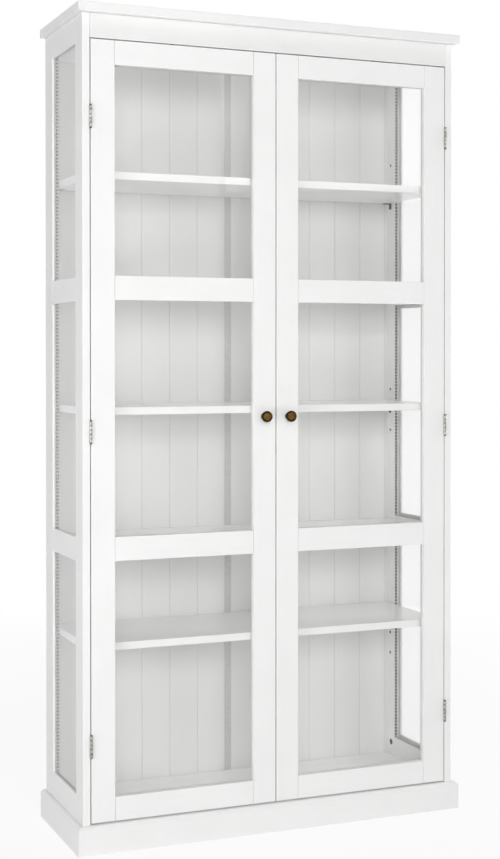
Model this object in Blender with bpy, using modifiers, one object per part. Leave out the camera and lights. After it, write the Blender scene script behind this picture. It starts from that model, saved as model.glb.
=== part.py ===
"""A tall white display cabinet with two glazed doors, glazed sides and six compartments.

Lengths are metres. The cabinet stands on z = 0 with its middle on x = 0. Depths are
measured back from the face of the closed doors, and one empty carries every piece, so
that the middle of the whole depth lies on y = 0.
"""

import math

import bmesh
import bpy
from mathutils import Matrix, Vector

# Whole cabinet
CABINET_HEIGHT = 1.950
CARCASS_WIDTH = 0.963
CARCASS_DEPTH = 0.328

# Fits
CLEARANCE = 0.0003
CUTTER_OVERRUN = 0.002
EDGE_CHAMFER = 0.0008
JOINT_OVERLAP = 0.0002

# Top, header and cross rails
TOP_THICKNESS = 0.021
TOP_FRONT_OVERHANG = 0.018
TOP_SIDE_OVERHANG = 0.0135
HEADER_HEIGHT = 0.0565
REAR_RAIL_HEIGHT = 0.058
CROSS_RAIL_THICKNESS = 0.018

# Plinth
PLINTH_HEIGHT = 0.066
PLINTH_PROJECTION = 0.0145
PLINTH_CHAMFER = 0.006

# Side frames
SIDE_THICKNESS = 0.018
FRONT_STILE_WIDTH = 0.058
REAR_STILE_WIDTH = 0.066
SIDE_TOP_RAIL_HEIGHT = 0.061
RAIL_HEIGHT = 0.056
SIDE_LIP = 0.005
SIDE_REBATE = 0.0087

# Glass
GLASS_THICKNESS = 0.003

# Three equal sections, one above the other, which the fixed shelves part
SECTIONS = 3
SECTIONS_START = 0.0925
SECTIONS_END_DROP = 0.0275

# Shelves
SHELF_THICKNESS = 0.018
FIXED_SHELF_SETBACK = 0.024
LOOSE_SHELF_SETBACK = 0.030
LOOSE_SHELF_REAR_GAP = 0.002
LOOSE_SHELF_END_GAP = 0.0012

# Shelf supports and their holes
HOLE_GROUP_RISE = 0.002
HOLE_PITCH = 0.055
HOLES_PER_GROUP = 3
FRONT_HOLE_TO_REBATE = 0.0093
REAR_HOLE_TO_REBATE = 0.0268
SUPPORT_PIN_RADIUS = 0.0025
SUPPORT_PIN_LENGTH = 0.009
SUPPORT_PIN_DROP = 0.0075
SUPPORT_GAUGE = 0.0012
SUPPORT_REACH = 0.021
SUPPORT_LEG = 0.0155
SUPPORT_WIDTH = 0.012

# Blind holes for the cams at the feet of the side frames
CAM_HOLE_RADIUS = 0.0078
CAM_HOLE_DEPTH = 0.012
CAM_HOLE_RISE = 0.034
CAM_HOLE_TO_REBATE = 0.0207

# Back
BACK_THICKNESS = 0.0055
BACK_INSET = 0.002
BACK_REBATE = 0.009
GROOVE_PITCH = 0.0748
GROOVE_WIDTH = 0.0025
GROOVE_DEPTH = 0.0012
STRIP_WIDTH = 0.018
STRIP_FLANGE = 0.001
STRIP_WEB = 0.0016

# Doors
DOOR_THICKNESS = 0.020
DOOR_GAP = 0.0025
DOOR_BOTTOM_GAP = 0.003
DOOR_STILE_WIDTH = 0.057
DOOR_RAIL_RISE = 0.0028
DOOR_LIP = 0.012
DOOR_REBATE = 0.0085

# Hinges
HINGE_LENGTH = 0.051
HINGE_INSET = 0.178
KNUCKLES = 5
BARREL_RADIUS = 0.0032
HINGE_PIN_RADIUS = 0.0015
LEAF_DEPTH = 0.016
PIN_TIP_RADIUS = 0.0026
PIN_TIP_LENGTH = 0.002

# Knobs and their screws
KNOB_INSET = 0.0303
KNOB_HEIGHT = 0.999
KNOB_PROJECTION = 0.024
KNOB_HEAD_RADIUS = 0.01375
KNOB_HEAD_DEPTH = 0.011
KNOB_UNDERCUT = math.radians(50)
KNOB_NECK_RADIUS = 0.005
KNOB_BASE_RADIUS = 0.0065
KNOB_BASE_DEPTH = 0.0025
KNOB_BORE_DEPTH = 0.012
SCREW_RADIUS = 0.002
SCREW_TIP_GAP = 0.001
SCREW_HEAD_RADIUS = 0.004
SCREW_HEAD_DEPTH = 0.0024

# How finely round pieces are divided
PIN_SIDES = 10
BARREL_SIDES = 12
KNOB_SIDES = 24
KNOB_HEAD_STEPS = 7

# Planes that several pieces share
HALF_WIDTH = CARCASS_WIDTH / 2
INNER_X = HALF_WIDTH - SIDE_THICKNESS
SIDE_TOP = CABINET_HEIGHT - TOP_THICKNESS
HEADER_BOTTOM = SIDE_TOP - HEADER_HEIGHT
DOOR_BOTTOM = PLINTH_HEIGHT + DOOR_BOTTOM_GAP
DOOR_TOP = HEADER_BOTTOM - DOOR_GAP
DOOR_OUTER_X = INNER_X - DOOR_GAP
DOOR_INNER_X = DOOR_GAP / 2
FLOOR_BOTTOM = PLINTH_HEIGHT - SHELF_THICKNESS
BACK_FACE = CARCASS_DEPTH - BACK_INSET - BACK_THICKNESS
SHELF_REAR = BACK_FACE - STRIP_FLANGE - 2 * CLEARANCE
SECTION_HEIGHT = (SIDE_TOP - SECTIONS_END_DROP - SECTIONS_START) / SECTIONS
LOWER_SHELF_CENTRE = SECTIONS_START + SECTION_HEIGHT
UPPER_SHELF_CENTRE = LOWER_SHELF_CENTRE + SECTION_HEIGHT
PANE_FRONT = FRONT_STILE_WIDTH
PANE_REAR = CARCASS_DEPTH - REAR_STILE_WIDTH
SIDE_GLASS_FACE = HALF_WIDTH - SIDE_LIP - CLEARANCE
HINGE_X = INNER_X - DOOR_GAP / 2
HINGE_Y = -(BARREL_RADIUS + CLEARANCE)
KNOB_X = DOOR_INNER_X + KNOB_INSET
FRONT_REACH = max(KNOB_PROJECTION, TOP_FRONT_OVERHANG, PLINTH_PROJECTION)

# Turns an outline's own X, Y and thickness to the directions that its piece needs
DEPTH_HEIGHT_WIDTH = Matrix(((0, 0, 1, 0), (1, 0, 0, 0), (0, 1, 0, 0), (0, 0, 0, 1)))
WIDTH_HEIGHT_DEPTH = Matrix.Rotation(math.pi / 2, 4, "X")
ALONG_X = Matrix.Rotation(math.pi / 2, 4, "Y")
ALONG_Y = Matrix.Rotation(math.pi / 2, 4, "X")
MIRROR_X = Matrix.Scale(-1, 4, (1, 0, 0))

SIDES = {"left": -1, "right": 1}


def centred(middle, size):
    return middle - size / 2, middle + size / 2


def grown(span, amount):
    return span[0] - amount, span[1] + amount


def on_side(sign, near, far):
    """The x span between two distances from the middle, on the left or the right."""
    return (near, far) if sign > 0 else (-far, -near)


# The height of each rail of a side frame and of a door, from the bottom up
SIDE_RAILS = [
    (0, DOOR_BOTTOM + RAIL_HEIGHT),
    centred(LOWER_SHELF_CENTRE, RAIL_HEIGHT),
    centred(UPPER_SHELF_CENTRE, RAIL_HEIGHT),
    (SIDE_TOP - SIDE_TOP_RAIL_HEIGHT, SIDE_TOP - CLEARANCE),
]
DOOR_RAILS = [
    (DOOR_BOTTOM, DOOR_BOTTOM + RAIL_HEIGHT),
    centred(LOWER_SHELF_CENTRE + DOOR_RAIL_RISE, RAIL_HEIGHT),
    centred(UPPER_SHELF_CENTRE + DOOR_RAIL_RISE, RAIL_HEIGHT),
    (DOOR_TOP - RAIL_HEIGHT, DOOR_TOP),
]


def pane_heights(rails):
    """Each pane's name and its low and high sight line, from the bottom up."""
    spans = [(below[1], above[0]) for below, above in zip(rails, rails[1:])]
    return dict(zip(("lower", "middle", "upper"), spans))


def clear_scene():
    for obj in list(bpy.data.objects):
        bpy.data.objects.remove(obj)


def new_collection(name, hidden=False):
    collection = bpy.data.collections.new(name)
    bpy.context.scene.collection.children.link(collection)
    collection.hide_render = hidden
    return collection


def new_material(name, colour, roughness, metallic=0.0, transmission=0.0):
    material = bpy.data.materials.new(name)
    material.use_nodes = True
    shader = material.node_tree.nodes["Principled BSDF"]
    shader.inputs["Base Color"].default_value = (*colour, 1)
    shader.inputs["Roughness"].default_value = roughness
    shader.inputs["Metallic"].default_value = metallic
    shader.inputs["Transmission Weight"].default_value = transmission
    return material


clear_scene()
PARTS = new_collection("display_cabinet")
CUTTERS = new_collection("cutters", hidden=True)

PAINT = new_material("white_lacquer", (0.88, 0.88, 0.87), 0.42)
BACKING = new_material("white_backing", (0.80, 0.80, 0.79), 0.50)
GLASS = new_material("clear_glass", (0.93, 0.95, 0.94), 0.02, transmission=1.0)
STRIP = new_material("pale_strip", (0.62, 0.62, 0.62), 0.45)
STEEL = new_material("hinge_steel", (0.58, 0.57, 0.55), 0.32, metallic=1.0)
DARK_STEEL = new_material("dark_steel", (0.10, 0.095, 0.09), 0.38, metallic=1.0)
BRONZE = new_material("aged_bronze", (0.20, 0.13, 0.06), 0.36, metallic=1.0)


def place(obj, parent, spot):
    """Puts an object at a spot in cabinet coordinates, carried by its parent empty."""
    obj.parent = parent
    is_hinge = parent.parent is not None
    obj.location = Vector(spot) - (parent.location if is_hinge else Vector())


def new_empty(name, location, parent=None):
    empty = bpy.data.objects.new(name, None)
    empty.location = location
    empty.parent = parent
    PARTS.objects.link(empty)
    return empty


def new_mesh(bm, name="solid"):
    mesh = bpy.data.meshes.new(name)
    bm.to_mesh(mesh)
    bm.free()
    return mesh


def add_part(name, mesh, material, parent, spot=(0, 0, 0)):
    mesh.materials.clear()
    mesh.materials.append(material)
    obj = bpy.data.objects.new(name, mesh)
    PARTS.objects.link(obj)
    place(obj, parent, spot)
    return obj


def add_helper(name, mesh, parent=None, spot=(0, 0, 0)):
    """An object that only joins or cuts a part."""
    obj = bpy.data.objects.new(name, mesh)
    obj.hide_render = True
    obj.display_type = "WIRE"
    CUTTERS.objects.link(obj)
    if parent:
        place(obj, parent, spot)
    return obj


def chamfer(obj):
    modifier = obj.modifiers.new("chamfer", "BEVEL")
    modifier.width = EDGE_CHAMFER
    modifier.segments = 1
    modifier.limit_method = "ANGLE"


def add_boolean(obj, operation, other):
    modifier = obj.modifiers.new(operation.lower(), "BOOLEAN")
    modifier.operation = operation
    modifier.object = other


def shade_round(mesh):
    mesh.shade_smooth()
    mesh.set_sharp_from_angle(angle=math.radians(35))


def add_box(bm, spans):
    """One box from its ((low x, high x), (low y, high y), (low z, high z))."""
    low, high = (Vector(corner) for corner in zip(*spans))
    size = high - low
    matrix = Matrix.Translation((low + high) / 2) @ Matrix.Diagonal((*size, 1))
    bmesh.ops.create_cube(bm, size=1, matrix=matrix)


def add_rod(bm, radius, length, matrix, sides):
    """A solid rod centred on its matrix, along the matrix's own Z."""
    bmesh.ops.create_cone(
        bm,
        cap_ends=True,
        segments=sides,
        radius1=radius,
        radius2=radius,
        depth=length,
        matrix=matrix,
    )


def rod_mesh(radius, length, matrix, sides):
    bm = bmesh.new()
    add_rod(bm, radius, length, matrix, sides)
    return new_mesh(bm)


def centred_box(spans):
    """A box's mesh about its own origin, and the spot where that origin lies."""
    low, high = (Vector(corner) for corner in zip(*spans))
    bm = bmesh.new()
    bmesh.ops.create_cube(bm, size=1, matrix=Matrix.Diagonal((*(high - low), 1)))
    return new_mesh(bm), (low + high) / 2


def add_board(name, spans, parent):
    """A square-edged board with fine chamfers."""
    mesh, spot = centred_box(spans)
    obj = add_part(name, mesh, PAINT, parent, spot)
    chamfer(obj)
    return obj


def add_frame(name, stiles, rails, parent, cutter):
    """Two stiles joined by their rails, with fine V joints, and then rebated."""
    frame = add_board(name, stiles[0], parent)
    for index, spans in enumerate([stiles[1], *rails]):
        mesh, spot = centred_box(spans)
        helper = add_helper(f"{name}_board_{index}", mesh, parent, spot)
        chamfer(helper)
        add_boolean(frame, "UNION", helper)
    add_boolean(frame, "DIFFERENCE", cutter)


def add_pane(name, spans, parent):
    mesh, spot = centred_box(spans)
    add_part(name, mesh, GLASS, parent, spot)


def baked(obj):
    """The finished mesh of a helper, which is removed."""
    graph = bpy.context.evaluated_depsgraph_get()
    mesh = bpy.data.meshes.new_from_object(obj.evaluated_get(graph))
    bpy.data.objects.remove(obj)
    return mesh


def outline_mesh(corners, thickness, matrix):
    """A flat outline given thickness, turned to its place by the matrix."""
    curve = bpy.data.curves.new("outline", "CURVE")
    curve.dimensions = "2D"
    curve.fill_mode = "BOTH"
    curve.extrude = thickness / 2
    spline = curve.splines.new("POLY")
    spline.points.add(len(corners) - 1)
    for point, corner in zip(spline.points, corners):
        point.co = (*corner, 0, 1)
    spline.use_cyclic_u = True
    bm = bmesh.new()
    bm.from_mesh(baked(add_helper("outline", curve)))
    bmesh.ops.remove_doubles(bm, verts=bm.verts, dist=CLEARANCE / 30)
    bm.transform(matrix)
    bmesh.ops.recalc_face_normals(bm, faces=bm.faces)
    return new_mesh(bm)


def turned_mesh(profile, sides):
    """A solid of revolution about Z from (radius, height) points that run downwards."""
    bm = bmesh.new()
    points = [bm.verts.new((radius, 0, height)) for radius, height in profile]
    for upper, lower in zip(points, points[1:]):
        bm.edges.new((upper, lower))
    obj = add_helper("profile", new_mesh(bm))
    screw = obj.modifiers.new("turn", "SCREW")
    screw.steps = sides
    screw.render_steps = sides
    screw.use_merge_vertices = True
    screw.merge_threshold = 0.00005
    mesh = baked(obj)
    shade_round(mesh)
    return mesh


def combined(solid, joined=(), removed=()):
    """One solid with others joined to it and then others taken away."""
    obj = add_helper("base", solid)
    helpers = []
    for operation, meshes in (("UNION", joined), ("DIFFERENCE", removed)):
        for mesh in meshes:
            helper = add_helper("tool", mesh)
            helpers.append(helper)
            add_boolean(obj, operation, helper)
    mesh = baked(obj)
    for helper in helpers:
        bpy.data.objects.remove(helper)
    shade_round(mesh)
    return mesh


def mirrored(mesh):
    """The left-hand twin of a right-hand mesh."""
    twin = mesh.copy()
    twin.transform(MIRROR_X)
    twin.flip_normals()
    return twin


def at(x, y, z):
    return Matrix.Translation((x, y, z))


def hole_heights():
    """The heights of each group of support holes, a little over its section's middle."""
    steps = [index - (HOLES_PER_GROUP - 1) / 2 for index in range(HOLES_PER_GROUP)]
    lowest = SECTIONS_START + SECTION_HEIGHT / 2 + HOLE_GROUP_RISE
    middles = [lowest + section * SECTION_HEIGHT for section in range(SECTIONS)]
    return [[middle + step * HOLE_PITCH for step in steps] for middle in middles]


def holes_in_use():
    """The hole under each loose shelf: top, middle and lowest hole, from the bottom up."""
    lower, middle, upper = hole_heights()
    return {
        "lower_shelf": lower[-1],
        "middle_shelf": middle[HOLES_PER_GROUP // 2],
        "upper_shelf": upper[0],
    }


def hole_depths():
    return {
        "front": PANE_FRONT - SIDE_REBATE - FRONT_HOLE_TO_REBATE,
        "rear": PANE_REAR + SIDE_REBATE + REAR_HOLE_TO_REBATE,
    }


def add_side_hole(bm, sign, y, z, radius, depth, sides):
    """A blind hole into an inner side face."""
    middle = sign * (INNER_X + (depth - CUTTER_OVERRUN) / 2)
    matrix = at(middle, y, z) @ ALONG_X
    add_rod(bm, radius, depth + CUTTER_OVERRUN, matrix, sides)


def side_opening(heights):
    return (PANE_FRONT, PANE_REAR), heights


def side_frame_cutter(side, sign, cabinet):
    """The rebates for the glass and the back, and the holes for supports and cams."""
    bm = bmesh.new()
    glazing = on_side(sign, INNER_X - CUTTER_OVERRUN, HALF_WIDTH - SIDE_LIP)
    for heights in pane_heights(SIDE_RAILS).values():
        rebate = (grown(span, SIDE_REBATE) for span in side_opening(heights))
        add_box(bm, (glazing, *rebate))
    beside = on_side(sign, INNER_X - CUTTER_OVERRUN, INNER_X + BACK_REBATE)
    behind = (BACK_FACE - CLEARANCE, CARCASS_DEPTH + CUTTER_OVERRUN)
    add_box(bm, (beside, behind, (FLOOR_BOTTOM - CLEARANCE, SIDE_TOP + CUTTER_OVERRUN)))
    radius = SUPPORT_PIN_RADIUS + CLEARANCE
    depth = SUPPORT_PIN_LENGTH + CLEARANCE
    for y in hole_depths().values():
        for z in sum(hole_heights(), []):
            add_side_hole(bm, sign, y, z, radius, depth, PIN_SIDES)
    cam_front = PANE_FRONT - SIDE_REBATE - CAM_HOLE_TO_REBATE
    cam_rear = PANE_REAR + SIDE_REBATE + CAM_HOLE_TO_REBATE
    for y in (cam_front, cam_rear):
        z = PLINTH_HEIGHT + CAM_HOLE_RISE
        add_side_hole(bm, sign, y, z, CAM_HOLE_RADIUS, CAM_HOLE_DEPTH, KNOB_SIDES)
    return add_helper(f"{side}_side_cutter", new_mesh(bm), cabinet)


def add_side_frame(side, sign, cabinet):
    across = on_side(sign, INNER_X, HALF_WIDTH)
    height = (0, SIDE_TOP - CLEARANCE)
    stiles = [(across, (0, PANE_FRONT), height), (across, (PANE_REAR, CARCASS_DEPTH), height)]
    between = grown((PANE_FRONT, PANE_REAR), JOINT_OVERLAP)
    rails = [(across, between, heights) for heights in SIDE_RAILS]
    cutter = side_frame_cutter(side, sign, cabinet)
    add_frame(f"{side}_side_frame", stiles, rails, cabinet, cutter)


def add_side_panes(side, sign, cabinet):
    across = on_side(sign, SIDE_GLASS_FACE - GLASS_THICKNESS, SIDE_GLASS_FACE)
    for name, heights in pane_heights(SIDE_RAILS).items():
        pane = (grown(span, SIDE_REBATE - CLEARANCE) for span in side_opening(heights))
        add_pane(f"{side}_side_{name}_pane", (across, *pane), cabinet)


def add_top(cabinet):
    across = centred(0, CARCASS_WIDTH + 2 * TOP_SIDE_OVERHANG)
    depths = (-TOP_FRONT_OVERHANG, CARCASS_DEPTH)
    add_board("top_panel", (across, depths, (SIDE_TOP, CABINET_HEIGHT)), cabinet)


def between_sides():
    return centred(0, 2 * (INNER_X - CLEARANCE))


def add_cross_rails(cabinet):
    """The header over the doors, and the rear rails under the top and under the floor."""
    top = SIDE_TOP - CLEARANCE
    front = (0, CROSS_RAIL_THICKNESS)
    rear = (SHELF_REAR - CROSS_RAIL_THICKNESS, SHELF_REAR)
    rails = {
        "header_rail": (front, (HEADER_BOTTOM, top)),
        "rear_top_rail": (rear, (SIDE_TOP - REAR_RAIL_HEIGHT, top)),
        "plinth_rear": (rear, (0, FLOOR_BOTTOM - CLEARANCE)),
    }
    for name, (depths, heights) in rails.items():
        add_board(name, (between_sides(), depths, heights), cabinet)


def add_floor_and_fixed_shelves(cabinet):
    boards = {
        "floor_panel": (0, PLINTH_HEIGHT - SHELF_THICKNESS / 2),
        "lower_fixed_shelf": (FIXED_SHELF_SETBACK, LOWER_SHELF_CENTRE),
        "upper_fixed_shelf": (FIXED_SHELF_SETBACK, UPPER_SHELF_CENTRE),
    }
    for name, (front, middle) in boards.items():
        heights = centred(middle, SHELF_THICKNESS)
        add_board(name, (between_sides(), (front, SHELF_REAR), heights), cabinet)


def add_loose_shelves(cabinet):
    across = centred(0, 2 * (INNER_X - LOOSE_SHELF_END_GAP))
    depths = (LOOSE_SHELF_SETBACK, BACK_FACE - LOOSE_SHELF_REAR_GAP)
    for name, hole in holes_in_use().items():
        underside = hole + SUPPORT_PIN_DROP
        add_board(name, (across, depths, (underside, underside + SHELF_THICKNESS)), cabinet)


def support_mesh():
    """An angle plate with a pin, for the right side, from the shelf's lower end corner."""
    face = -CLEARANCE
    back = face - SUPPORT_GAUGE
    corners = (
        (face, face),
        (face, face - SUPPORT_LEG),
        (back, face - SUPPORT_LEG),
        (back, back),
        (face - SUPPORT_REACH, back),
        (face - SUPPORT_REACH, face),
    )
    plate = outline_mesh(corners, SUPPORT_WIDTH, WIDTH_HEIGHT_DEPTH)
    start = face - SUPPORT_GAUGE / 2
    length = SUPPORT_PIN_LENGTH - start
    middle = at(start + length / 2, 0, -SUPPORT_PIN_DROP)
    pin = rod_mesh(SUPPORT_PIN_RADIUS, length, middle @ ALONG_X, PIN_SIDES)
    return combined(plate, joined=[pin])


def add_supports(side, sign, cabinet):
    mesh = support_mesh()
    if sign < 0:
        mesh = mirrored(mesh)
    for shelf, hole in holes_in_use().items():
        for end, y in hole_depths().items():
            spot = (sign * INNER_X, y, hole + SUPPORT_PIN_DROP)
            name = f"{shelf}_support_{side}_{end}"
            add_part(name, mesh, DARK_STEEL, cabinet, spot)


def groove_places():
    """How far from the middle each groove of a back panel lies."""
    half_strip = STRIP_WIDTH / 2
    count = int((INNER_X - half_strip) / GROOVE_PITCH)
    return [half_strip + GROOVE_PITCH * (index + 1) for index in range(count)]


def upright_from_floor(corners):
    """An upright of the back from its plan outline, and the spot where its origin lies."""
    low, high = FLOOR_BOTTOM, SIDE_TOP - CLEARANCE
    return outline_mesh(corners, high - low, Matrix()), (0, 0, (low + high) / 2)


def add_back_panel(side, sign, cabinet):
    near = STRIP_WEB / 2 + CLEARANCE
    far = INNER_X + BACK_REBATE - CLEARANCE
    rear = BACK_FACE + BACK_THICKNESS
    corners = [(near, rear), (near, BACK_FACE)]
    for groove in groove_places():
        corners.append((groove - GROOVE_WIDTH / 2, BACK_FACE))
        corners.append((groove, BACK_FACE + GROOVE_DEPTH))
        corners.append((groove + GROOVE_WIDTH / 2, BACK_FACE))
    corners += [(far, BACK_FACE), (far, rear)]
    mesh, spot = upright_from_floor([(sign * x, y) for x, y in corners])
    add_part(f"back_panel_{side}", mesh, BACKING, cabinet, spot)


def add_back_strip(cabinet):
    """The upright strip of H section that joins the two back panels."""
    half = STRIP_WIDTH / 2
    web = STRIP_WEB / 2
    front = BACK_FACE - CLEARANCE
    rear = BACK_FACE + BACK_THICKNESS + CLEARANCE
    right = [
        (half, front - STRIP_FLANGE),
        (half, front),
        (web, front),
        (web, rear),
        (half, rear),
        (half, rear + STRIP_FLANGE),
    ]
    left = [(-x, y) for x, y in reversed(right)]
    mesh, spot = upright_from_floor(right + left)
    add_part("back_joint_strip", mesh, STRIP, cabinet, spot)


def plinth_mesh(length, mitred_ends):
    """A plinth board along X on a face at y = 0, looking towards -Y.

    The length is that of the face. A mitred end, -1 or 1, runs on round the corner.
    """
    bm = bmesh.new()
    outer = -PLINTH_PROJECTION
    add_box(bm, (centred(0, length), (outer, -CLEARANCE), (0, PLINTH_HEIGHT)))
    top_outer = [
        edge
        for edge in bm.edges
        if all(v.co.y < outer / 2 and v.co.z > PLINTH_HEIGHT / 2 for v in edge.verts)
    ]
    bmesh.ops.bevel(bm, geom=top_outer, offset=PLINTH_CHAMFER, affect="EDGES")
    mitre_gap = CLEARANCE * math.sqrt(0.5)
    for vert in bm.verts:
        for end in mitred_ends:
            if vert.co.x * end > 0:
                vert.co.x += end * (-vert.co.y - mitre_gap)
    return new_mesh(bm)


def add_plinth(cabinet):
    add_part("plinth_front", plinth_mesh(CARCASS_WIDTH, (-1, 1)), PAINT, cabinet)
    for side, sign in SIDES.items():
        spot = (sign * HALF_WIDTH, CARCASS_DEPTH / 2, 0)
        mesh = plinth_mesh(CARCASS_DEPTH, (-sign,))
        board = add_part(f"plinth_{side}", mesh, PAINT, cabinet, spot)
        board.rotation_euler.z = sign * math.pi / 2


def hinge_heights():
    low = DOOR_BOTTOM + HINGE_INSET
    high = DOOR_TOP - HINGE_INSET
    return {"lower": low, "middle": (low + high) / 2, "upper": high}


def leaf_plate(own_knuckles, sign):
    """A leaf's plate about the hinge's axis, with a tongue into each knuckle of its own.

    The two leaves of a hinge share the gap beside the door, each on its own side.
    """
    thickness = (DOOR_GAP - 3 * CLEARANCE) / 2
    root = BARREL_RADIUS + CLEARANCE
    tongue = (BARREL_RADIUS + HINGE_PIN_RADIUS + CLEARANCE) / 2
    far = LEAF_DEPTH - HINGE_Y
    half = HINGE_LENGTH / 2
    corners = [(far, half), (far, -half), (root, -half)]
    for low, high in own_knuckles:
        corners += [(root, low), (tongue, low), (tongue, high), (root, high)]
    corners.append((root, half))
    offset = sign * (CLEARANCE + thickness) / 2
    return outline_mesh(corners, thickness, at(offset, 0, 0) @ DEPTH_HEIGHT_WIDTH)


def knuckle_spans(first):
    """The height of every other knuckle about the hinge's middle, from the first one."""
    pitch = HINGE_LENGTH / KNUCKLES
    middles = [pitch * (index + 0.5) - HINGE_LENGTH / 2 for index in range(first, KNUCKLES, 2)]
    return [centred(middle, pitch - CLEARANCE) for middle in middles]


def leaf_mesh(first_knuckle, sign, joined=(), removed=()):
    knuckles = knuckle_spans(first_knuckle)
    tongues = [grown(span, -CLEARANCE) for span in knuckles]
    rods = [
        rod_mesh(BARREL_RADIUS, high - low, at(0, 0, (low + high) / 2), BARREL_SIDES)
        for low, high in knuckles
    ]
    plate = leaf_plate(tongues, sign)
    return combined(plate, joined=[*rods, *joined], removed=removed)


def hinge_pin_mesh():
    shoulder = HINGE_LENGTH / 2
    tip = shoulder + PIN_TIP_LENGTH
    crown = PIN_TIP_RADIUS * math.cos(math.pi / 4)
    upper = [
        (0, tip),
        (crown, tip - PIN_TIP_LENGTH / 8),
        (PIN_TIP_RADIUS, tip - PIN_TIP_LENGTH / 2),
        (PIN_TIP_RADIUS, shoulder - CLEARANCE),
        (HINGE_PIN_RADIUS, shoulder - CLEARANCE),
    ]
    lower = [(radius, -height) for radius, height in reversed(upper)]
    return turned_mesh(upper + lower, BARREL_SIDES)


def add_hinges(side, sign, cabinet, hinge):
    """Three hinges: the frame's leaf has the end knuckles and the pin riveted in them."""
    frame_leaf = leaf_mesh(0, sign, joined=[hinge_pin_mesh()])
    bore = rod_mesh(HINGE_PIN_RADIUS + CLEARANCE, 2 * HINGE_LENGTH, Matrix(), BARREL_SIDES)
    door_leaf = leaf_mesh(1, -sign, removed=[bore])
    for level, z in hinge_heights().items():
        spot = (sign * HINGE_X, HINGE_Y, z)
        add_part(f"{side}_{level}_hinge_frame_leaf", frame_leaf, STEEL, cabinet, spot)
        add_part(f"{side}_{level}_hinge_door_leaf", door_leaf, STEEL, hinge, spot)


def door_opening(sign, heights):
    reach = (DOOR_INNER_X + DOOR_STILE_WIDTH, DOOR_OUTER_X - DOOR_STILE_WIDTH)
    return on_side(sign, *reach), heights


def door_cutter(side, sign, hinge):
    """The rebates for the panes and the hole for the knob's screw."""
    bm = bmesh.new()
    depths = (DOOR_LIP, DOOR_THICKNESS + CUTTER_OVERRUN)
    for heights in pane_heights(DOOR_RAILS).values():
        across, up = (grown(span, DOOR_REBATE) for span in door_opening(sign, heights))
        add_box(bm, (across, depths, up))
    middle = at(sign * KNOB_X, DOOR_THICKNESS / 2, KNOB_HEIGHT) @ ALONG_Y
    length = DOOR_THICKNESS + 2 * CUTTER_OVERRUN
    add_rod(bm, SCREW_RADIUS + CLEARANCE, length, middle, PIN_SIDES)
    bm.transform(at(-sign * HINGE_X, -HINGE_Y, 0))
    return add_helper(f"{side}_door_cutter", new_mesh(bm), hinge, hinge.location)


def add_door_frame(side, sign, hinge):
    depths = (0, DOOR_THICKNESS)
    height = (DOOR_BOTTOM, DOOR_TOP)
    meeting = (DOOR_INNER_X, DOOR_INNER_X + DOOR_STILE_WIDTH)
    hanging = (DOOR_OUTER_X - DOOR_STILE_WIDTH, DOOR_OUTER_X)
    stiles = [(on_side(sign, *reach), depths, height) for reach in (hanging, meeting)]
    between = grown((meeting[1], hanging[0]), JOINT_OVERLAP)
    rails = [(on_side(sign, *between), depths, heights) for heights in DOOR_RAILS]
    add_frame(f"{side}_door_frame", stiles, rails, hinge, door_cutter(side, sign, hinge))


def add_door_panes(side, sign, hinge):
    depths = (DOOR_LIP + CLEARANCE, DOOR_LIP + CLEARANCE + GLASS_THICKNESS)
    margin = DOOR_REBATE - CLEARANCE
    for name, heights in pane_heights(DOOR_RAILS).items():
        across, up = (grown(span, margin) for span in door_opening(sign, heights))
        add_pane(f"{side}_door_{name}_pane", (across, depths, up), hinge)


def knob_mesh():
    """A mushroom knob whose axis is Z, with a blind bore for its screw."""
    half = KNOB_HEAD_DEPTH / 2
    middle = KNOB_PROJECTION - half
    sweep = math.pi / 2 + KNOB_UNDERCUT
    profile = [(0, KNOB_PROJECTION)]
    for step in range(1, KNOB_HEAD_STEPS + 1):
        angle = math.pi / 2 - sweep * step / KNOB_HEAD_STEPS
        profile.append((KNOB_HEAD_RADIUS * math.cos(angle), middle + half * math.sin(angle)))
    bore = SCREW_RADIUS + CLEARANCE
    profile += [
        (KNOB_NECK_RADIUS, KNOB_BORE_DEPTH),
        (KNOB_NECK_RADIUS, 2 * KNOB_BASE_DEPTH),
        (KNOB_BASE_RADIUS, KNOB_BASE_DEPTH),
        (KNOB_BASE_RADIUS, CLEARANCE),
        (bore, CLEARANCE),
        (bore, KNOB_BORE_DEPTH),
        (0, KNOB_BORE_DEPTH),
    ]
    return turned_mesh(profile, KNOB_SIDES)


def knob_screw_mesh():
    """A pan-headed screw along Z, from its tip in the knob down to its head."""
    tip = KNOB_BORE_DEPTH - SCREW_TIP_GAP
    seat = -DOOR_THICKNESS - CLEARANCE
    end = seat - SCREW_HEAD_DEPTH
    profile = [
        (0, tip),
        (SCREW_RADIUS, tip),
        (SCREW_RADIUS, seat),
        (SCREW_HEAD_RADIUS, seat),
        (SCREW_HEAD_RADIUS, seat - SCREW_HEAD_DEPTH / 2),
        (SCREW_HEAD_RADIUS * math.cos(math.pi / 4), end + SCREW_HEAD_DEPTH / 8),
        (0, end),
    ]
    return turned_mesh(profile, BARREL_SIDES)


def add_knob(side, sign, hinge):
    """The knob on the meeting stile, and the screw that holds it from behind."""
    spot = (sign * KNOB_X, 0, KNOB_HEIGHT)
    knob = add_part(f"{side}_knob", knob_mesh(), BRONZE, hinge, spot)
    screw = add_part(f"{side}_knob_screw", knob_screw_mesh(), STEEL, hinge, spot)
    for piece in (knob, screw):
        piece.rotation_euler.x = math.pi / 2


def add_door(side, sign, cabinet):
    hinge = new_empty(f"{side}_hinge_axis", (sign * HINGE_X, HINGE_Y, 0), cabinet)
    add_door_frame(side, sign, hinge)
    add_door_panes(side, sign, hinge)
    add_knob(side, sign, hinge)
    add_hinges(side, sign, cabinet, hinge)


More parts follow.
